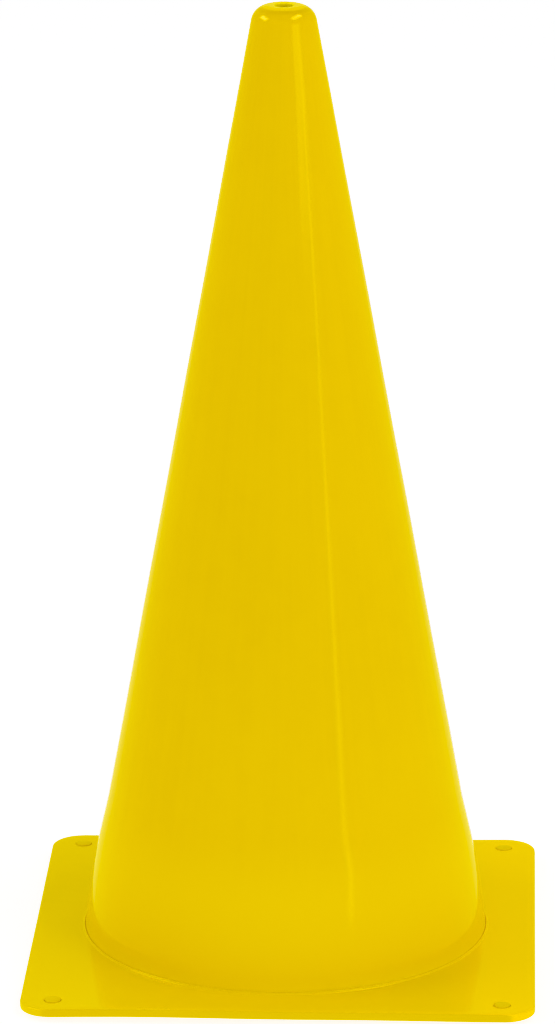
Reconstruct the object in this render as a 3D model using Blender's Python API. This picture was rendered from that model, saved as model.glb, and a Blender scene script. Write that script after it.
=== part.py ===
"""A two-piece traffic cone, in metres, +Z up, on z = 0, with the cone's axis on Z and its front at -Y.

A hollow cone body stands on its own square foot flange. A square base plate drops over the cone from
above, rests on that flange and carries four push-in rubber feet. A square rib under the plate locates it
on the flange, so the plate can be lifted off over the cone's top but can't turn.
"""

import math

import bmesh
import bpy

# Driving dimensions.
HEIGHT = 0.460
BASE_WIDTH = 0.242
GAP = 0.0003  # left between two pieces that touch

# Cone body.
FOOT_RADIUS = 0.09832  # outer wall, carried down to the ground
TAPER = 0.1831  # loss of radius for each metre of height
SWELL = 0.0012  # the wall is fuller than a true cone by this, half way between the next two heights
SWELL_BOTTOM = 0.003
SWELL_TOP = 0.075
WALL = 0.0022
SHOULDER_RADIUS = 0.0084  # rounding between the wall and the flat top
TOP_HOLE_RADIUS = 0.0042
FLANGE_HALF = 0.105
FLANGE_CORNER = 0.022
FLANGE_TOP = 0.0031
FLANGE_SHEET = 0.0020
FLANGE_RIM = 0.0024  # width of the flange's downturned rim, which stands on the ground
FLANGE_FILLET = 0.0010

# Base plate.
PLATE_HALF = BASE_WIDTH / 2
PLATE_CORNER = 0.015
PLATE_TOP = 0.0060
PLATE_UNDERSIDE = FLANGE_TOP + GAP
LIP_BOTTOM = 0.0024
LIP_WIDTH = 0.0022
EDGE_ROUNDING = 0.0010
COLLAR_HEIGHT = 0.0010
COLLAR_WIDTH = 0.0008
COLLAR_COVE = 0.0005
BORE_CLEARANCE = 0.0004
RIB_WIDTH = 0.0016
RIB_BOTTOM = 0.0008
RIB_CLEARANCE = 0.0005

# Feet.
FOOT_SIDE_INSET = 0.0155  # foot's axis to the plate's left or right edge
FOOT_END_INSET = 0.0130  # foot's axis to the plate's front or back edge
FOOT_PAD_RADIUS = 0.0065
FOOT_STEM_RADIUS = 0.0024
FOOT_HEAD_RADIUS = 0.0038
FOOT_HEAD_HEIGHT = 0.0012
HEAD_SEAT_RADIUS = 0.0043
HEAD_SEAT_DEPTH = 0.0007

# Fineness of the facets.
SIDE_STEPS = 12  # along each side of the flange's outline
CORNER_STEPS = 10  # over each of its corners
ARC_STEPS = 6
SWELL_STEPS = 6  # down the fuller part of the wall
FOOT_SEGMENTS = 20

YELLOW = (0.80, 0.54, 0.004)


def clear_scene():
    for thing in list(bpy.data.objects):
        bpy.data.objects.remove(thing, do_unlink=True)


def make_material(name, colour, roughness):
    """A plain moulded material: colour and roughness, no metal."""
    material = bpy.data.materials.new(name)
    material.use_nodes = True
    shader = material.node_tree.nodes["Principled BSDF"]
    shader.inputs["Base Color"].default_value = (*colour, 1.0)
    shader.inputs["Roughness"].default_value = roughness
    shader.inputs["Metallic"].default_value = 0.0
    return material


def outline_angles():
    """Angles of the points round every outline: even steps on the sides, finer ones over the corners."""
    start = math.atan2(FLANGE_HALF - FLANGE_CORNER, FLANGE_HALF)
    quarter = [start * 2 * i / SIDE_STEPS for i in range(SIDE_STEPS // 2)]
    quarter += [start + (math.pi / 2 - 2 * start) * i / CORNER_STEPS for i in range(CORNER_STEPS)]
    quarter += [math.pi / 2 - start + start * 2 * i / SIDE_STEPS for i in range(SIDE_STEPS // 2)]
    return [turn * math.pi / 2 + angle for turn in range(4) for angle in quarter]


def circle(radius, z, angles):
    return [(radius * math.cos(a), radius * math.sin(a), z) for a in angles]


def rounded_square(half, corner, z, angles):
    """The points where rays at these angles meet a square outline with rounded corners."""
    centre = half - corner
    points = []
    for angle in angles:
        a = angle % (math.pi / 2)
        a = min(a, math.pi / 2 - a)
        if half * math.tan(a) <= centre:
            reach = half / math.cos(a)
        else:
            along = centre * (math.cos(a) + math.sin(a))
            reach = along + math.sqrt(along**2 - 2 * centre**2 + corner**2)
        points.append((reach * math.cos(angle), reach * math.sin(angle), z))
    return points


def arc(centre_r, centre_z, radius, start, end, steps):
    """(r, z) points on an arc in the section; angles in degrees, 0 away from the axis, 90 up."""
    turns = [math.radians(start + (end - start) * i / steps) for i in range(steps + 1)]
    return [(centre_r + radius * math.cos(t), centre_z + radius * math.sin(t)) for t in turns]


def finish_object(name, mesh_data, material, sharp_degrees=32):
    """Makes the object from a bmesh, faces outward, smooth except at real edges."""
    bmesh.ops.recalc_face_normals(mesh_data, faces=mesh_data.faces)
    mesh = bpy.data.meshes.new(name)
    mesh_data.to_mesh(mesh)
    mesh_data.free()
    mesh.materials.append(material)
    mesh.shade_smooth()
    mesh.set_sharp_from_angle(angle=math.radians(sharp_degrees))
    piece = bpy.data.objects.new(name, mesh)
    bpy.context.collection.objects.link(piece)
    return piece


def bridge(mesh_data, lower, upper):
    count = len(lower)
    for i in range(count):
        j = (i + 1) % count
        mesh_data.faces.new((lower[i], lower[j], upper[j], upper[i]))


def loft_round(name, rings, material):
    """A solid with a hole through it: rings follow each other round the section and close on the first."""
    mesh_data = bmesh.new()
    loops = [[mesh_data.verts.new(point) for point in ring] for ring in rings]
    for lower, upper in zip(loops, loops[1:] + loops[:1]):
        bridge(mesh_data, lower, upper)
    return finish_object(name, mesh_data, material)


def turn_solid(name, profile, material):
    """A solid turned about its own Z axis from a profile that starts and ends on that axis."""
    mesh_data = bmesh.new()
    angles = [math.tau * i / FOOT_SEGMENTS for i in range(FOOT_SEGMENTS)]
    start = mesh_data.verts.new((0, 0, profile[0][1]))
    end = mesh_data.verts.new((0, 0, profile[-1][1]))
    loops = [[mesh_data.verts.new(p) for p in circle(r, z, angles)] for r, z in profile[1:-1]]
    for lower, upper in zip(loops, loops[1:]):
        bridge(mesh_data, lower, upper)
    for i in range(FOOT_SEGMENTS):
        j = (i + 1) % FOOT_SEGMENTS
        mesh_data.faces.new((start, loops[0][j], loops[0][i]))
        mesh_data.faces.new((end, loops[-1][i], loops[-1][j]))
    return finish_object(name, mesh_data, material)


def wall_radius(z):
    """The cone's outer radius at a height."""
    t = min(max((z - SWELL_BOTTOM) / (SWELL_TOP - SWELL_BOTTOM), 0), 1)
    return FOOT_RADIUS - TAPER * z + SWELL * 16 * t**2 * (1 - t) ** 2


def swollen_wall(bottom, inset):
    """(r, z) points down the fuller part of the wall, from its top to just above a height."""
    heights = [SWELL_TOP + (bottom - SWELL_TOP) * i / SWELL_STEPS for i in range(SWELL_STEPS)]
    return [(wall_radius(z) - inset, z) for z in heights]


def make_cone_body(material):
    """The hollow cone: from its top hole over the shoulder, down to the flange and back up inside."""
    lean = math.atan(TAPER)
    lean_degrees = math.degrees(lean)
    # The shoulder's arc touches both the flat top and the wall.
    centre_z = HEIGHT - SHOULDER_RADIUS
    centre_r = wall_radius(centre_z) - SHOULDER_RADIUS / math.cos(lean)
    hole_edge = 0.0005
    edge = arc(TOP_HOLE_RADIUS + hole_edge, HEIGHT - hole_edge, hole_edge, 180, 90, 2)
    shoulder = arc(centre_r, centre_z, SHOULDER_RADIUS, 90, lean_degrees, ARC_STEPS)
    fillet_z = FLANGE_TOP + FLANGE_FILLET
    fillet = arc(wall_radius(fillet_z) + FLANGE_FILLET, fillet_z, FLANGE_FILLET, 180, 270, 3)
    inner_shoulder = arc(centre_r, centre_z, SHOULDER_RADIUS - WALL, lean_degrees, 90, ARC_STEPS - 2)
    flange_underside = FLANGE_TOP - FLANGE_SHEET
    wall_across = WALL / math.cos(lean)
    inner_foot = wall_radius(flange_underside) - wall_across
    outer_wall = swollen_wall(fillet_z, 0)
    inner_wall = swollen_wall(flange_underside, wall_across)[::-1]
    rim_inner = FLANGE_HALF - FLANGE_RIM
    edge_break = 0.0005

    angles = outline_angles()
    rings = [circle(r, z, angles) for r, z in edge + shoulder + outer_wall + fillet]
    rings += [
        rounded_square(FLANGE_HALF - edge_break, FLANGE_CORNER - edge_break, FLANGE_TOP, angles),
        rounded_square(FLANGE_HALF, FLANGE_CORNER, FLANGE_TOP - edge_break, angles),
        rounded_square(FLANGE_HALF, FLANGE_CORNER, 0, angles),
        rounded_square(rim_inner, FLANGE_CORNER - FLANGE_RIM, 0, angles),
        rounded_square(rim_inner, FLANGE_CORNER - FLANGE_RIM, flange_underside, angles),
    ]
    inside = [(inner_foot, flange_underside)] + inner_wall + inner_shoulder
    rings += [circle(r, z, angles) for r, z in inside]
    rings.append(circle(TOP_HOLE_RADIUS, HEIGHT - WALL, angles))
    return loft_round("cone_body", rings, material)


def make_base_plate(material):
    """The square plate: collar, downturned lip, locating rib, and a seated hole for each foot."""
    collar_top = PLATE_TOP + COLLAR_HEIGHT
    lead_in = 0.0008
    bore = [
        (wall_radius(PLATE_UNDERSIDE) + BORE_CLEARANCE + lead_in, PLATE_UNDERSIDE),
        (wall_radius(PLATE_UNDERSIDE + lead_in) + BORE_CLEARANCE, PLATE_UNDERSIDE + lead_in),
    ]
    bore_top = wall_radius(collar_top) + BORE_CLEARANCE
    half_width = COLLAR_WIDTH / 2
    collar_crown = arc(bore_top + half_width, collar_top - half_width, half_width, 180, 0, 4)
    collar_outer = bore_top + COLLAR_WIDTH
    cove = arc(collar_outer + COLLAR_COVE, PLATE_TOP + COLLAR_COVE, COLLAR_COVE, 180, 270, 3)

    edge = arc(PLATE_HALF - EDGE_ROUNDING, PLATE_TOP - EDGE_ROUNDING, EDGE_ROUNDING, 90, 0, 3)
    lip_inner = PLATE_HALF - LIP_WIDTH
    lip = [(PLATE_HALF, LIP_BOTTOM), (lip_inner, LIP_BOTTOM), (lip_inner, PLATE_UNDERSIDE)]

    angles = outline_angles()
    rings = [circle(r, z, angles) for r, z in bore + collar_crown + cove]
    for half, z in edge + lip:
        rings.append(rounded_square(half, PLATE_CORNER - (PLATE_HALF - half), z, angles))
    rib_inner = FLANGE_HALF + RIB_CLEARANCE
    rib_corner = FLANGE_CORNER + RIB_CLEARANCE
    for outset, z in (
        (RIB_WIDTH, PLATE_UNDERSIDE),
        (RIB_WIDTH, RIB_BOTTOM),
        (0, RIB_BOTTOM),
        (0, PLATE_UNDERSIDE),
    ):
        rings.append(rounded_square(rib_inner + outset, rib_corner + outset, z, angles))
    plate = loft_round("base_plate", rings, material)

    # One stepped cutter for each foot: a through hole and, above it, the seat for the foot's head.
    seat_floor = PLATE_TOP - HEAD_SEAT_DEPTH
    above = PLATE_TOP + 0.002
    stem_hole = FOOT_STEM_RADIUS + GAP
    profile = [(0, 0), (stem_hole, 0), (stem_hole, seat_floor), (HEAD_SEAT_RADIUS, seat_floor)]
    profile += [(HEAD_SEAT_RADIUS, above), (0, above)]
    for name, x, y in foot_places():
        cutter = turn_solid(f"cutter_{name}", profile, material)
        cutter.location = (x, y, 0)
        cutter.hide_render = True
        cutter.display_type = "WIRE"
        cut = plate.modifiers.new(f"seat_{name}", "BOOLEAN")
        cut.operation = "DIFFERENCE"
        cut.object = cutter
    return plate


def foot_places():
    """Name and x, y of each foot, seen from the front."""
    x = PLATE_HALF - FOOT_SIDE_INSET
    y = PLATE_HALF - FOOT_END_INSET
    return [
        ("foot_front_left", -x, -y),
        ("foot_front_right", x, -y),
        ("foot_back_left", -x, y),
        ("foot_back_right", x, y),
    ]


def make_foot(name, x, y, material):
    """A push-in foot: a round pad under the plate, a stem through it and a domed head in its seat."""
    pad_top = PLATE_UNDERSIDE - GAP
    head_bottom = PLATE_TOP - HEAD_SEAT_DEPTH + GAP
    head_top = head_bottom + FOOT_HEAD_HEIGHT
    pad_edge = 0.0006
    head_edge = 0.0003
    dome = FOOT_HEAD_HEIGHT / 2  # the head's upper half is a low dome
    profile = [(0, 0), (FOOT_PAD_RADIUS - 2 * pad_edge, 0), (FOOT_PAD_RADIUS - pad_edge, pad_edge)]
    profile += [(FOOT_PAD_RADIUS, pad_top), (FOOT_STEM_RADIUS, pad_top), (FOOT_STEM_RADIUS, head_bottom)]
    profile += [(FOOT_HEAD_RADIUS - head_edge, head_bottom), (FOOT_HEAD_RADIUS, head_bottom + head_edge)]
    for turn in (0, 25, 50, 72):
        t = math.radians(turn)
        profile.append((FOOT_HEAD_RADIUS * math.cos(t), head_top - dome + dome * math.sin(t)))
    profile.append((0, head_top))
    foot = turn_solid(name, profile, material)
    foot.location = (x, y, 0)
    return foot


def build():
    clear_scene()
    cone_plastic = make_material("cone_plastic", YELLOW, 0.38)
    base_plastic = make_material("base_plastic", YELLOW, 0.38)
    foot_rubber = make_material("foot_rubber", YELLOW, 0.6)

    make_cone_body(cone_plastic)

    # Everything that lifts off over the cone's top hangs on one empty, on the cone's axis.
    lift_axis = bpy.data.objects.new("lift_axis", None)
    bpy.context.collection.objects.link(lift_axis)
    lifted = [make_base_plate(base_plastic)]
    lifted += [make_foot(name, x, y, foot_rubber) for name, x, y in foot_places()]
    for piece in lifted:
        piece.parent = lift_axis


build()
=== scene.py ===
"""The looks of the traffic cone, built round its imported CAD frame.

Each CAD node is replaced by a fine mesh of the same size: the cone body with a slightly uneven wall, the base
plate with its collar and foot seats, and the four push-in feet. Everything is in metres, +Z up, front at -Y.
"""

import math

import bpy
import numpy as np
from mathutils import Matrix, Vector


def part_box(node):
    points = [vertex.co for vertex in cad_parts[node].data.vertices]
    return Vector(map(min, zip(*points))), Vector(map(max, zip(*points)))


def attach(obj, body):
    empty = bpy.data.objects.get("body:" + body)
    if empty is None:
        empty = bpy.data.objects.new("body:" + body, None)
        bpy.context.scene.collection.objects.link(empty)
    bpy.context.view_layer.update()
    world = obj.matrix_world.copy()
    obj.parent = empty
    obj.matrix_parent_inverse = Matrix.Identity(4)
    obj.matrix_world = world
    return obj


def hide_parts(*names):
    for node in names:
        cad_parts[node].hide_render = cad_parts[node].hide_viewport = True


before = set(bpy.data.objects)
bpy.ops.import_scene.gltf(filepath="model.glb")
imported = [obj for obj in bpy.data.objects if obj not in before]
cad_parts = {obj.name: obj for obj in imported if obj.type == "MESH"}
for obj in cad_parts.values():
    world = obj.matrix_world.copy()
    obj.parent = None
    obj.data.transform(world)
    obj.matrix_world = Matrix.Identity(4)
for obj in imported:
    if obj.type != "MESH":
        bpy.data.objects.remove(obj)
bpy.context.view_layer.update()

# Places read from the frame.
CONE_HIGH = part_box("cone_body")[1]
PLATE_LOW, PLATE_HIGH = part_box("base_plate")
HEIGHT = CONE_HIGH.z
FLANGE_HALF = CONE_HIGH.x
PLATE_HALF = PLATE_HIGH.x
COLLAR_TOP = PLATE_HIGH.z
RIB_BOTTOM = PLATE_LOW.z

# The CAD model's own dimensions that its boxes don't give. The foot's seat is drawn closer than the CAD's.
FOOT_RADIUS = 0.09832
TAPER = 0.1831
SWELL = 0.0012
SWELL_BOTTOM = 0.003
SWELL_TOP = 0.075
WALL = 0.0022
SHOULDER_RADIUS = 0.0084
TOP_HOLE_RADIUS = 0.0042
FLANGE_CORNER = 0.022
FLANGE_TOP = 0.0031
FLANGE_SHEET = 0.0020
FLANGE_RIM = 0.0024
FLANGE_FILLET = 0.0010
PLATE_CORNER = 0.015
PLATE_UNDERSIDE = 0.0034
COLLAR_HEIGHT = 0.0010
PLATE_TOP = COLLAR_TOP - COLLAR_HEIGHT
LIP_BOTTOM = 0.0024
LIP_WIDTH = 0.0022
EDGE_ROUNDING = 0.0010
COLLAR_WIDTH = 0.0008
COLLAR_COVE = 0.0005
BORE_CLEARANCE = 0.0004
RIB_WIDTH = 0.0016
RIB_CLEARANCE = 0.0005
SEAT_DEPTH = 0.0007
SEAT_RADIUS = 0.0040
FOOT_STEM_RADIUS = 0.0024
GAP = 0.0003
FEET = ("foot_front_left", "foot_front_right", "foot_back_left", "foot_back_right")
SIDE_STEPS = 44  # along each side of a square outline

# Where the real wall and plate stray from the ideal ones.
COLLAR_SNUG = 0.00004  # the collar's lip hugs the wall
WALL_LOBES = ((0.00010, 2, 0.7, 3), (0.00007, 5, 1.9, -6), (0.00004, 9, 4.1, 9))  # depth, count, phase, lean
WALL_WAVE, WALL_WAVE_LENGTH = 0.00006, 0.11
WALL_RINGS, WALL_RING_PITCH = 0.00002, 0.0085
UNEVEN_FROM, UNEVEN_TO = (0.012, 0.06), (0.41, 0.448)  # heights where lobes and wave set in and fade
RINGS_FROM, RINGS_TO = (0.34, 0.40), (0.43, 0.445)  # the same for the rings
PLATE_WAVES = (0.00022, 0.00012)
PLATE_FRONT_ARCH = 0.0005
WARP_START, WARP_FULL = 0.101, 0.118  # distances from the axis over which the plate's warp sets in

# The camera.
VIEW_AZIMUTH = math.radians(2.23)
VIEW_ELEVATION = math.radians(16.81)
VIEW_ROLL = math.radians(0.126)
VIEW_DISTANCE = 2.991
VIEW_LENS = 220.9
VIEW_ACROSS = -0.0035  # how far to the right of the axis it aims
VIEW_HEIGHT = 0.2139  # how high it aims

# The studio. White walls all round but for these: the axis towards them, where on it dimming starts and is
# full, and what is left of the brightness there.
DIM_WALLS = (("Z", 0.62, 0.92, 0.38), ("X", 0.10, 0.90, 0.86), ("X", -0.10, -0.90, 0.95))
LAMP_AIM = Vector((0, 0, 0.23))
FLOOR_RADIUS = 30.0
FLOOR_HEIGHT = -0.0002


# ---------------------------------------------------------------- shapes

def outline_angles(side_steps, corner_steps):
    """Angles round a square outline: even steps on its sides, finer ones over its corners."""
    start = math.atan2(FLANGE_HALF - FLANGE_CORNER, FLANGE_HALF)
    side = start * 2 * np.arange(side_steps // 2) / side_steps
    corner = start + (math.pi / 2 - 2 * start) * np.arange(corner_steps) / corner_steps
    quarter = np.concatenate([side, corner, math.pi / 2 - start + side])
    return np.concatenate([turn * math.pi / 2 + quarter for turn in range(4)])


def circle(radius, z, angles):
    return np.stack([radius * np.cos(angles), radius * np.sin(angles), np.full(len(angles), z)], -1)


def rounded_square(half, corner, z, angles):
    """Where rays at these angles meet a square outline with rounded corners."""
    centre = half - corner
    a = np.mod(angles, math.pi / 2)
    a = np.minimum(a, math.pi / 2 - a)
    along = centre * (np.cos(a) + np.sin(a))
    round_reach = along + np.sqrt(np.maximum(along**2 - 2 * centre**2 + corner**2, 0))
    reach = np.where(half * np.tan(a) <= centre, half / np.cos(a), round_reach)
    return np.stack([reach * np.cos(angles), reach * np.sin(angles), np.full(len(angles), z)], -1)


def arc(centre_r, centre_z, radius, start, end, steps):
    """(r, z) points on an arc in the section; angles in degrees, 0 pointing away from the axis, 90 up."""
    t = np.radians(np.linspace(start, end, steps + 1))
    return list(zip(centre_r + radius * np.cos(t), centre_z + radius * np.sin(t)))


def straight(a, b, steps):
    """(r, z) points between a and b, both left out."""
    return [tuple(np.array(a) + (np.array(b) - np.array(a)) * i / steps) for i in range(1, steps)]


def mesh_object(name, points, faces, sharp_degrees=40):
    mesh = bpy.data.meshes.new(name)
    mesh.from_pydata(points.tolist(), [], faces)
    mesh.shade_smooth()
    mesh.set_sharp_from_angle(angle=math.radians(sharp_degrees))
    piece = bpy.data.objects.new(name, mesh)
    bpy.context.scene.collection.objects.link(piece)
    return piece


def loft_round(name, rings):
    """A closed mesh with a hole through it, from rings that follow each other all round its section."""
    rings = np.array(rings)
    count, around = rings.shape[:2]
    index = np.arange(count * around).reshape(count, around)
    below, above = index, np.roll(index, -1, 0)
    quads = np.stack([below, above, np.roll(above, -1, 1), np.roll(below, -1, 1)], -1)
    return mesh_object(name, rings.reshape(-1, 3), quads.reshape(-1, 4).tolist())


def turn_solid(name, profile, around):
    """A solid turned about its own Z axis from a profile that starts and ends on it, bottom to top."""
    angles = np.arange(around) * math.tau / around
    rings = np.array([circle(r, z, angles) for r, z in profile[1:-1]])
    count = len(rings)
    points = np.concatenate([rings.reshape(-1, 3), [[0, 0, profile[0][1]], [0, 0, profile[-1][1]]]])
    index = np.arange(count * around).reshape(count, around)
    below, above = index[:-1], index[1:]
    quads = np.stack([below, np.roll(below, -1, 1), np.roll(above, -1, 1), above], -1)
    quads = quads.reshape(-1, 4).tolist()
    start, end = count * around, count * around + 1
    for i in range(around):
        j = (i + 1) % around
        quads.append((start, index[0, j], index[0, i]))
        quads.append((end, index[-1, i], index[-1, j]))
    return mesh_object(name, points, quads)


def wall_radius(z):
    """The outer wall's radius: a true cone, fuller low down by up to SWELL."""
    t = min(max((z - SWELL_BOTTOM) / (SWELL_TOP - SWELL_BOTTOM), 0), 1)
    return FOOT_RADIUS - TAPER * z + SWELL * 16 * t**2 * (1 - t) ** 2


# ---------------------------------------------------------------- the pieces

def smooth_step(x, low, high):
    t = np.clip((x - low) / (high - low), 0, 1)
    return t * t * (3 - 2 * t)


def wall_unevenness(angle, z):
    """How far the moulded wall stands off a true cone: slow lobes, and faint rings under the shoulder."""
    lobes = 0
    for depth, count, phase, lean in WALL_LOBES:
        lobes = lobes + depth * np.cos(count * angle + phase + lean * z)
    slow = WALL_WAVE * np.sin(math.tau * z / WALL_WAVE_LENGTH + 2 * np.cos(angle))
    rings = WALL_RINGS * np.sin(math.tau * z / WALL_RING_PITCH)
    rings *= smooth_step(z, *RINGS_FROM) * (1 - smooth_step(z, *RINGS_TO))
    return (lobes + slow) * smooth_step(z, *UNEVEN_FROM) * (1 - smooth_step(z, *UNEVEN_TO)) + rings


def make_cone_shell():
    lean = math.atan(TAPER)
    lean_degrees = math.degrees(lean)
    centre_z = HEIGHT - SHOULDER_RADIUS
    centre_r = wall_radius(centre_z) - SHOULDER_RADIUS / math.cos(lean)
    wall_across = WALL / math.cos(lean)
    hole_edge = 0.0005
    hole_chamfer = 0.0003
    edge = arc(TOP_HOLE_RADIUS + hole_edge, HEIGHT - hole_edge, hole_edge, 180, 90, 5)
    shoulder = arc(centre_r, centre_z, SHOULDER_RADIUS, 90, lean_degrees, 20)
    fillet_z = FLANGE_TOP + FLANGE_FILLET
    fillet = arc(wall_radius(fillet_z) + FLANGE_FILLET, fillet_z, FLANGE_FILLET, 180, 270, 5)
    inner_shoulder = arc(centre_r, centre_z, SHOULDER_RADIUS - WALL, lean_degrees, 90, 8)
    flange_underside = FLANGE_TOP - FLANGE_SHEET
    inner_foot = (wall_radius(flange_underside) - wall_across, flange_underside)
    rim_inner = FLANGE_HALF - FLANGE_RIM
    rounding = 0.0004
    top = edge + straight(edge[-1], shoulder[0], 3) + shoulder
    outer_wall = [(wall_radius(z), z) for _, z in straight(shoulder[-1], fillet[0], 140)]
    inner_wall = [(wall_radius(z) - wall_across, z) for _, z in straight(inner_foot, inner_shoulder[0], 60)]

    angles = outline_angles(SIDE_STEPS, 20)
    rings = [circle(r, z, angles) for r, z in top]
    for r, z in outer_wall:
        ring = circle(r, z, angles)
        ring[:, :2] *= (1 + wall_unevenness(angles, z) / r)[:, None]
        rings.append(ring)
    rings += [circle(r, z, angles) for r, z in fillet]
    flange = arc(FLANGE_HALF - rounding, FLANGE_TOP - rounding, rounding, 90, 0, 3)
    flange += arc(FLANGE_HALF - rounding, rounding, rounding, 0, -90, 3)
    flange += [(rim_inner + rounding, 0), (rim_inner, rounding), (rim_inner, flange_underside)]
    for half, z in flange:
        rings.append(rounded_square(half, FLANGE_CORNER - (FLANGE_HALF - half), z, angles))
    rings += [circle(r, z, angles) for r, z in [inner_foot] + inner_wall + inner_shoulder]
    rings += [circle(TOP_HOLE_RADIUS + hole_chamfer, HEIGHT - WALL, angles)]
    rings += [circle(TOP_HOLE_RADIUS, HEIGHT - WALL + hole_chamfer, angles)]
    return loft_round("cone_shell", rings)


def plate_warp(x, y):
    """The thin plate isn't quite flat: it rises and falls slightly, and its front edge arches."""
    away = np.hypot(x, y)
    slow = PLATE_WAVES[0] * np.sin(31 * x + 0.6) * np.cos(27 * y - 0.4)
    slow = slow + PLATE_WAVES[1] * np.sin(58 * x - 44 * y)
    front = PLATE_FRONT_ARCH * (1 - (x / PLATE_HALF) ** 2) * smooth_step(-y, WARP_START, PLATE_HALF)
    return slow * smooth_step(away, WARP_START, WARP_FULL) + front


def foot_place(name):
    """Where the foot's axis stands."""
    low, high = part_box(name)
    return (low.x + high.x) / 2, (low.y + high.y) / 2


def seat_cutter(name):
    """Cuts one foot's seat: a flat floor, a straight wall and a rounded lip at the plate's top."""
    floor = PLATE_TOP - SEAT_DEPTH
    below, above = -0.001, PLATE_TOP + 0.0006
    stem_hole = FOOT_STEM_RADIUS + GAP
    corner = 0.0002
    lip = 0.00015
    profile = [(0, below), (stem_hole, below), (stem_hole, floor)]
    profile += [(SEAT_RADIUS - corner, floor), (SEAT_RADIUS, floor + corner)]
    for t in (0, 0.4, 0.8, 1.2):
        profile.append((SEAT_RADIUS + lip - lip * math.cos(t), PLATE_TOP - lip + lip * math.sin(t)))
    profile += [(SEAT_RADIUS + lip, above), (0, above)]
    cutter = turn_solid(name + "_seat_cutter", profile, 64)
    cutter.location = (*foot_place(name), 0)
    cutter.hide_render = True
    return cutter


def make_base_shell():
    lead_in = 0.0008
    bore = [
        (wall_radius(PLATE_UNDERSIDE) + BORE_CLEARANCE + lead_in, PLATE_UNDERSIDE),
        (wall_radius(PLATE_UNDERSIDE + lead_in) + BORE_CLEARANCE, PLATE_UNDERSIDE + lead_in),
    ]
    bore_top = wall_radius(COLLAR_TOP) + COLLAR_SNUG
    half_width = COLLAR_WIDTH / 2
    crown = arc(bore_top + half_width, COLLAR_TOP - half_width, half_width, 180, 0, 8)
    cove = arc(bore_top + COLLAR_WIDTH + COLLAR_COVE, PLATE_TOP + COLLAR_COVE, COLLAR_COVE, 180, 270, 6)
    edge = arc(PLATE_HALF - EDGE_ROUNDING, PLATE_TOP - EDGE_ROUNDING, EDGE_ROUNDING, 90, 0, 6)
    lip_round = 0.0004
    lip = arc(PLATE_HALF - lip_round, LIP_BOTTOM + lip_round, lip_round, 0, -90, 3)
    lip_inner = PLATE_HALF - LIP_WIDTH
    lip += [(lip_inner + lip_round, LIP_BOTTOM), (lip_inner, LIP_BOTTOM + lip_round)]
    lip += [(lip_inner, PLATE_UNDERSIDE)]

    angles = outline_angles(SIDE_STEPS, 24)
    rings = [circle(r, z, angles) for r, z in bore + crown + cove]
    foot_of_cove = rings[-1]
    plate_edge = rounded_square(edge[0][0], PLATE_CORNER - EDGE_ROUNDING, PLATE_TOP, angles)
    sheet_rings = 12
    for i in range(1, sheet_rings):
        rings.append(foot_of_cove + (plate_edge - foot_of_cove) * i / sheet_rings)
    for half, z in edge + lip:
        rings.append(rounded_square(half, PLATE_CORNER - (PLATE_HALF - half), z, angles))
    rib_inner = FLANGE_HALF + RIB_CLEARANCE
    rib_corner = FLANGE_CORNER + RIB_CLEARANCE
    rib = ((RIB_WIDTH, PLATE_UNDERSIDE), (RIB_WIDTH, RIB_BOTTOM), (0, RIB_BOTTOM), (0, PLATE_UNDERSIDE))
    for outset, z in rib:
        rings.append(rounded_square(rib_inner + outset, rib_corner + outset, z, angles))
    rings = np.array(rings)
    rings[:, :, 2] += plate_warp(rings[:, :, 0], rings[:, :, 1])
    plate = loft_round("base_shell", rings)
    for name in FEET:
        cutter = seat_cutter(name)
        cut = plate.modifiers.new(name, "BOOLEAN")
        cut.operation = "DIFFERENCE"
        cut.object = cutter
    apply_modifiers(plate)
    plate.data.shade_smooth()
    plate.data.set_sharp_from_angle(angle=math.radians(40))
    return plate


def apply_modifiers(piece):
    """Keeps the evaluated mesh, and removes the modifiers and the objects that they used."""
    helpers = [m.object for m in piece.modifiers if m.type == "BOOLEAN"]
    evaluated = piece.evaluated_get(bpy.context.evaluated_depsgraph_get())
    mesh = bpy.data.meshes.new_from_object(evaluated)
    piece.modifiers.clear()
    piece.data = mesh
    for helper in helpers:
        bpy.data.objects.remove(helper)


def make_foot(name):
    """One push-in foot: a pad with a moulding dimple underneath, a stem and a low domed head."""
    low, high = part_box(name)
    pad = (high.x - low.x) / 2
    top = high.z
    pad_top = PLATE_UNDERSIDE - GAP
    head_bottom = PLATE_TOP - SEAT_DEPTH + GAP
    head_slack = 0.00015
    head = SEAT_RADIUS - head_slack
    crown = 0.0005
    edge, small_edge = 0.0006, 0.0003
    dimple, dimple_foot, dimple_depth = 0.0010, 0.0016, 0.0003
    profile = [(0, dimple_depth), (dimple, dimple_depth), (dimple_foot, 0)]
    profile += arc(pad - edge, edge, edge, -90, 0, 4)
    profile += arc(pad - small_edge, pad_top - small_edge, small_edge, 0, 90, 3)
    profile += [(FOOT_STEM_RADIUS, pad_top), (FOOT_STEM_RADIUS, head_bottom)]
    profile += [(head - small_edge, head_bottom), (head, head_bottom + small_edge)]
    for t in np.radians(np.linspace(0, 78, 9)):
        profile.append((head * math.cos(t), top - crown + crown * math.sin(t)))
    profile.append((0, top - 0.0001))
    foot = turn_solid(name + "_cap", profile, 48)
    foot.location = (*foot_place(name), 0)
    return foot


# ---------------------------------------------------------------- materials

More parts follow.
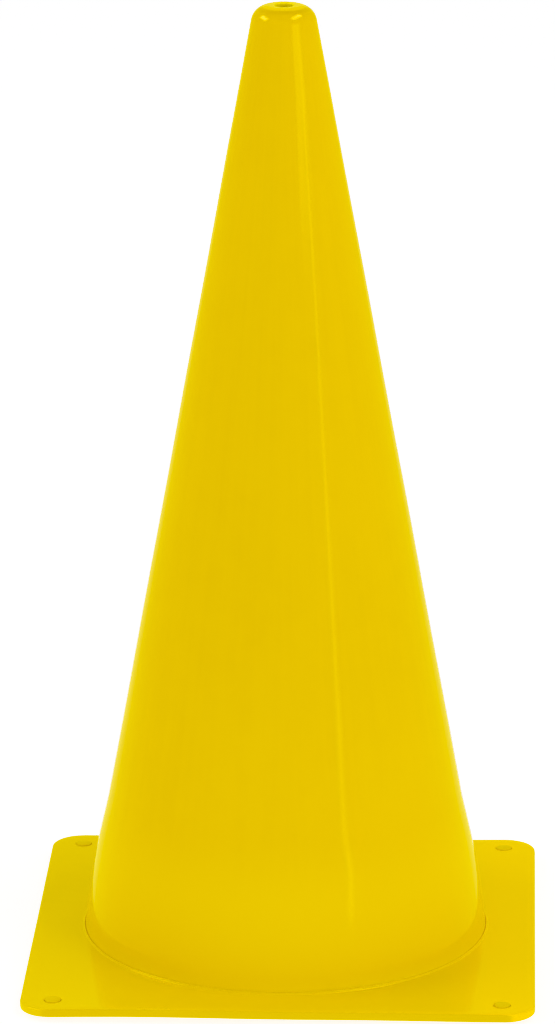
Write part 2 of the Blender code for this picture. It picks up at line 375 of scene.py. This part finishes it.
class Nodes:
    """A short way to write a material's node tree."""

    def __init__(self, name):
        self.material = bpy.data.materials.new(name)
        self.material.use_nodes = True
        self.tree = self.material.node_tree
        self.shader = self.tree.nodes["Principled BSDF"]
        self.position = self.tree.nodes.new("ShaderNodeTexCoord").outputs["Object"]

    def link(self, value, socket):
        if hasattr(value, "is_output"):
            self.tree.links.new(value, socket)
        else:
            socket.default_value = value

    def math(self, operation, *values, clamp=False):
        node = self.tree.nodes.new("ShaderNodeMath")
        node.operation = operation
        node.use_clamp = clamp
        for value, socket in zip(values, node.inputs):
            self.link(value, socket)
        return node.outputs[0]

    def vector(self, operation, *values):
        node = self.tree.nodes.new("ShaderNodeVectorMath")
        node.operation = operation
        for value, socket in zip(values, node.inputs):
            self.link(value, socket)
        return node.outputs[0]

    def noise(self, vector, scale, detail=2.0, roughness=0.5, seed=0.0):
        node = self.tree.nodes.new("ShaderNodeTexNoise")
        node.noise_dimensions = "4D"
        self.link(vector, node.inputs["Vector"])
        node.inputs["W"].default_value = seed
        node.inputs["Scale"].default_value = scale
        node.inputs["Detail"].default_value = detail
        node.inputs["Roughness"].default_value = roughness
        return node.outputs[0]

    def ramp(self, value, low, high):
        """0 below low, 1 above high, smooth between."""
        node = self.tree.nodes.new("ShaderNodeMapRange")
        node.interpolation_type = "SMOOTHSTEP"
        self.link(value, node.inputs["Value"])
        node.inputs["From Min"].default_value = low
        node.inputs["From Max"].default_value = high
        return node.outputs["Result"]

    def mix(self, factor, a, b):
        node = self.tree.nodes.new("ShaderNodeMix")
        node.data_type = "RGBA"
        self.link(factor, node.inputs[0])
        self.link(a, node.inputs[6])
        self.link(b, node.inputs[7])
        return node.outputs[2]

    def bump(self, height, distance, strength=1.0, below=None):
        node = self.tree.nodes.new("ShaderNodeBump")
        node.inputs["Strength"].default_value = strength
        node.inputs["Distance"].default_value = distance
        self.link(height, node.inputs["Height"])
        if below is not None:
            self.link(below, node.inputs["Normal"])
        return node.outputs[0]

    def axes(self, vector):
        split = self.tree.nodes.new("ShaderNodeSeparateXYZ")
        self.link(vector, split.inputs[0])
        return split.outputs

    def radius(self, x, y):
        """The distance from the axis, at least 1 mm so that it can divide."""
        squares = self.math("ADD", self.math("MULTIPLY", x, x), self.math("MULTIPLY", y, y))
        return self.math("MAXIMUM", self.math("SQRT", squares), 0.001)

    def around_axis(self, turns, heights):
        """The direction from the axis and the height, each scaled, for grain drawn out along the wall."""
        x, y, z = self.axes(self.position)
        radius = self.radius(x, y)
        join = self.tree.nodes.new("ShaderNodeCombineXYZ")
        self.link(self.math("MULTIPLY", self.math("DIVIDE", x, radius), turns), join.inputs[0])
        self.link(self.math("MULTIPLY", self.math("DIVIDE", y, radius), turns), join.inputs[1])
        self.link(self.math("MULTIPLY", z, heights), join.inputs[2])
        return join.outputs[0]


def cone_painted_light_and_shade(n):
    """Painted light and shade fitted to the tones seen: paler low down, on the top and in its hole, darker in
    a ring.
    """
    x, y, z = n.axes(n.position)
    # Painted light: the wall paler low down and paler still at its foot, lifting the shade near the plate.
    painted_light_low_wall = n.math("SUBTRACT", 1.0, n.ramp(z, 0.045, 0.080))
    foot = n.math("SUBTRACT", 1.0, n.ramp(z, 0.002, 0.014))
    # Painted shade: a darker ring below the flat top, standing for the dim ceiling mirrored in the shoulder.
    ring = n.math("MULTIPLY", n.ramp(z, HEIGHT - 0.0024, HEIGHT - 0.0015), 0.9)
    # Painted reflection: the flat top paler, standing for the bright back wall mirrored in it.
    top = n.ramp(z, HEIGHT - 0.0009, HEIGHT - 0.0004)
    # Painted light: the hole's wall paler, lifting the shade inside the hole.
    hole = n.math("SUBTRACT", 1.0, n.ramp(n.radius(x, y), 0.0044, 0.0048))
    return [
        (painted_light_low_wall, (0.788, 0.542, 0.002, 1)),
        (foot, (0.840, 0.612, 0.002, 1)),
        (ring, (0.690, 0.448, 0.001, 1)),
        (top, (0.835, 0.575, 0.002, 1)),
        (hole, (0.940, 0.740, 0.010, 1)),
    ]


def plate_painted_light_and_shade(n):
    """Painted light and shade fitted to the tones seen: lighter along the right side, a little darker at the
    edge.
    """
    # Painted light: the plate's right side lighter, where the lamps from the right fall.
    right = n.math("MULTIPLY", n.ramp(n.axes(n.position)[0], 0.072, 0.105), 0.75)
    # Painted shade: the rounded edge a little darker, standing for the dim ceiling mirrored there.
    x_off, y_off, _ = n.axes(n.vector("ABSOLUTE", n.position))
    edge = n.ramp(n.math("MAXIMUM", x_off, y_off), PLATE_HALF - EDGE_ROUNDING, PLATE_HALF - 0.0002)
    return [(right, (0.930, 0.600, 0.001, 1)), (edge, (0.735, 0.505, 0.001, 1))]


def plastic(name, deep, light, roughness, gloss, regions):
    """Moulded yellow plastic: uneven pigment, streaks, fine grain, light scuffs, and painted light low down.

    The regions give further painted light and shade, and where they lie.
    """
    n = Nodes(name)
    n.shader.inputs["Metallic"].default_value = 0.0
    n.shader.inputs["Specular IOR Level"].default_value = gloss
    patches = n.noise(n.position, 9.0, 3.0, 0.5, seed=1.3)
    mottle = n.noise(n.position, 70.0, 4.0, 0.6, seed=4.1)
    streaks = n.noise(n.around_axis(1.0, 0.5), 16.0, 3.0, 0.55, seed=7.7)
    tone = n.math("ADD", n.math("MULTIPLY", patches, 0.4), n.math("MULTIPLY", mottle, 0.3))
    tone = n.ramp(n.math("ADD", tone, n.math("MULTIPLY", streaks, 0.3)), 0.35, 0.65)
    # Painted light: the colour lightens towards the bottom, lifting the shade low on the wall near the plate.
    painted_light_low_down = n.math("SUBTRACT", 1.0, n.ramp(n.axes(n.position)[2], 0.0, 0.22))
    tone = n.math("ADD", n.math("MULTIPLY", tone, 0.6), n.math("MULTIPLY", painted_light_low_down, 0.8))
    colour = n.mix(tone, (*deep, 1), (*light, 1))
    for where, shade in regions(n):
        colour = n.mix(where, colour, shade)
    n.link(colour, n.shader.inputs["Base Color"])
    scuffs = n.ramp(n.noise(n.around_axis(3.0, 160.0), 2.2, 5.0, 0.6, seed=2.9), 0.62, 0.78)
    worn = n.math("MULTIPLY", scuffs, n.ramp(n.noise(n.position, 22.0, 2.0, seed=5.5), 0.48, 0.62))
    rough = n.math("ADD", roughness - 0.03, n.math("MULTIPLY", mottle, 0.06))
    rough = n.math("ADD", rough, n.math("MULTIPLY", worn, 0.12))
    n.link(rough, n.shader.inputs["Roughness"])
    peel = n.bump(n.noise(n.position, 210.0, 2.0, 0.5, seed=8.2), 0.00004, 0.6)
    grain = n.bump(n.noise(n.position, 1500.0, 2.0, 0.5, seed=3.4), 0.00001, 0.5, below=peel)
    n.link(grain, n.shader.inputs["Normal"])
    return n.material


def rubber(name, deep, light):
    """Satin rubber with a fine mottle and grain."""
    n = Nodes(name)
    mottle = n.noise(n.position, 160.0, 4.0, 0.6, seed=6.1)
    n.link(n.mix(mottle, (*deep, 1), (*light, 1)), n.shader.inputs["Base Color"])
    n.link(n.math("ADD", 0.30, n.math("MULTIPLY", mottle, 0.14)), n.shader.inputs["Roughness"])
    n.link(n.bump(n.noise(n.position, 1800.0, 3.0, seed=1.1), 0.00003, 0.6), n.shader.inputs["Normal"])
    return n.material


def floor_material():
    """A pale sheet lit from beneath, so that shadows on it stay faint."""
    n = Nodes("pale_floor")
    n.shader.inputs["Base Color"].default_value = (0.20, 0.20, 0.20, 1)
    n.shader.inputs["Roughness"].default_value = 0.8
    n.shader.inputs["Specular IOR Level"].default_value = 0.0
    n.shader.inputs["Emission Color"].default_value = (1, 1, 1, 1)
    n.shader.inputs["Emission Strength"].default_value = 0.84
    return n.material


# ---------------------------------------------------------------- studio

def direction(azimuth, elevation):
    """Unit vector from the cone towards something, azimuth in degrees to the right of the camera."""
    a, e = math.radians(azimuth) + VIEW_AZIMUTH, math.radians(elevation)
    return Vector((math.sin(a) * math.cos(e), -math.cos(a) * math.cos(e), math.sin(e)))


def aim(thing, at, roll=0.0):
    """Turns a light or camera, which look along their own -Z, towards a point."""
    turn = (Vector(at) - thing.location).to_track_quat("-Z", "Y")
    thing.rotation_euler = (turn.to_matrix() @ Matrix.Rotation(roll, 3, "Z")).to_euler()


def softbox(name, azimuth, elevation, distance, width, height, watts):
    """A lamp that faces the cone's middle; angles in degrees, azimuth to the right of the camera."""
    data = bpy.data.lights.new(name, "AREA")
    data.shape = "RECTANGLE"
    data.size, data.size_y = width, height
    data.energy = watts
    lamp = bpy.data.objects.new(name, data)
    lamp.location = LAMP_AIM + direction(azimuth, elevation) * distance
    bpy.context.scene.collection.objects.link(lamp)
    aim(lamp, LAMP_AIM)
    return lamp


def strip(top_azimuth, top, bottom_azimuth, bottom, distance, width, watts):
    """A long thin light between two points round the cone, for the narrow line of gloss down its wall."""
    ends = []
    for azimuth, z in ((top_azimuth, top), (bottom_azimuth, bottom)):
        ends.append(direction(azimuth, 0) * distance + Vector((0, 0, z)))
    upper, lower = ends
    data = bpy.data.lights.new("strip", "AREA")
    data.shape = "RECTANGLE"
    data.size, data.size_y = width, (upper - lower).length
    data.energy = watts
    lamp = bpy.data.objects.new("strip", data)
    along = (upper - lower).normalized()
    back = ((upper + lower) / 2 - Vector((0, 0, 0.2))).normalized()
    across = along.cross(back).normalized()
    back = across.cross(along)
    turn = Matrix((across, along, back)).transposed()
    lamp.matrix_world = Matrix.Translation((upper + lower) / 2) @ turn.to_4x4()
    bpy.context.scene.collection.objects.link(lamp)


def make_world():
    """White walls, dimmed over the places in DIM_WALLS."""
    world = bpy.data.worlds.new("studio")
    world.use_nodes = True
    nodes = world.node_tree.nodes
    background = nodes["Background"]
    background.inputs["Color"].default_value = (1, 1, 1, 1)
    link = world.node_tree.links.new
    split = nodes.new("ShaderNodeSeparateXYZ")
    link(nodes.new("ShaderNodeTexCoord").outputs["Generated"], split.inputs[0])
    strength = nodes.new("ShaderNodeValue").outputs[0]
    strength.default_value = 1.0
    for axis, start, full, dimmest in DIM_WALLS:
        dim = nodes.new("ShaderNodeMapRange")
        dim.interpolation_type = "SMOOTHSTEP"
        link(split.outputs[axis], dim.inputs["Value"])
        for socket, value in (("From Min", start), ("From Max", full), ("To Min", 1.0), ("To Max", dimmest)):
            dim.inputs[socket].default_value = value
        product = nodes.new("ShaderNodeMath")
        product.operation = "MULTIPLY"
        link(strength, product.inputs[0])
        link(dim.outputs["Result"], product.inputs[1])
        strength = product.outputs[0]
    link(strength, background.inputs["Strength"])
    bpy.context.scene.world = world


def make_view():
    """Plain colours, but the view takes away the gloss's weak blue: the object shows almost none."""
    view = bpy.context.scene.view_settings
    view.view_transform = "Standard"
    view.use_curve_mapping = True
    blue = view.curve_mapping.curves[2]
    for x, y in ((0.24, 0.001), (0.50, 0.09), (0.80, 0.80)):
        blue.points.new(x, y)
    for point in blue.points:
        point.handle_type = "VECTOR"
    view.curve_mapping.update()


def make_lamps():
    """Soft lamps to the right, to the left and in front, and the narrow line of gloss down the wall."""
    softbox("high_right", 73, 60, 2.4, 1.5, 0.7, 10)
    softbox("high_left", -93, 39, 2.4, 1.4, 0.7, 10)
    softbox("window", 41, 18, 2.6, 1.2, 0.8, 7)
    strip(46.0, 0.74, 36.8, 0.0, 2.5, 0.11, 0.75)
    # Two more, at the same places, that show in the gloss only.
    softbox("spark_right", 72, 58, 2.4, 1.6, 0.7, 19).visible_diffuse = False
    softbox("spark_left", -92, 40, 2.4, 1.2, 0.7, 14).visible_diffuse = False


def make_floor():
    around = 96
    ring = circle(FLOOR_RADIUS, FLOOR_HEIGHT, np.arange(around) * math.tau / around)
    floor = mesh_object("floor", ring, [list(range(around))])
    floor.data.materials.append(floor_material())


def make_camera():
    data = bpy.data.cameras.new("camera")
    data.lens = VIEW_LENS
    data.sensor_width = 36.0
    data.clip_end = 100
    camera = bpy.data.objects.new("camera", data)
    bpy.context.scene.collection.objects.link(camera)
    right = Vector((math.cos(VIEW_AZIMUTH), math.sin(VIEW_AZIMUTH), 0))
    target = right * VIEW_ACROSS + Vector((0, 0, VIEW_HEIGHT))
    camera.location = target + direction(0, math.degrees(VIEW_ELEVATION)) * VIEW_DISTANCE
    aim(camera, target, -VIEW_ROLL)
    bpy.context.scene.camera = camera


# ---------------------------------------------------------------- the object

def dress(piece, material, body, slot, *nodes):
    piece.data.materials.clear()
    piece.data.materials.append(material)
    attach(piece, body)
    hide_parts(*nodes)


cone_plastic = plastic("cone_plastic", (0.72, 0.47, 0.001), (0.762, 0.508, 0.002), 0.11, 0.34, cone_painted_light_and_shade)
base_plastic = plastic("base_plastic", (0.772, 0.54, 0.001), (0.817, 0.573, 0.002), 0.1, 0.38, plate_painted_light_and_shade)
foot_rubber = rubber("foot_rubber", (0.72, 0.500, 0.001), (0.77, 0.540, 0.002))

make_camera()
make_world()
make_view()
make_lamps()
make_floor()
dress(make_cone_shell(), cone_plastic, "cone", "cone_plastic", "cone_body")
dress(make_base_shell(), base_plastic, "base", "base_plastic", "base_plate")
for foot_name in FEET:
    dress(make_foot(foot_name), foot_rubber, "base", "foot_rubber", foot_name)
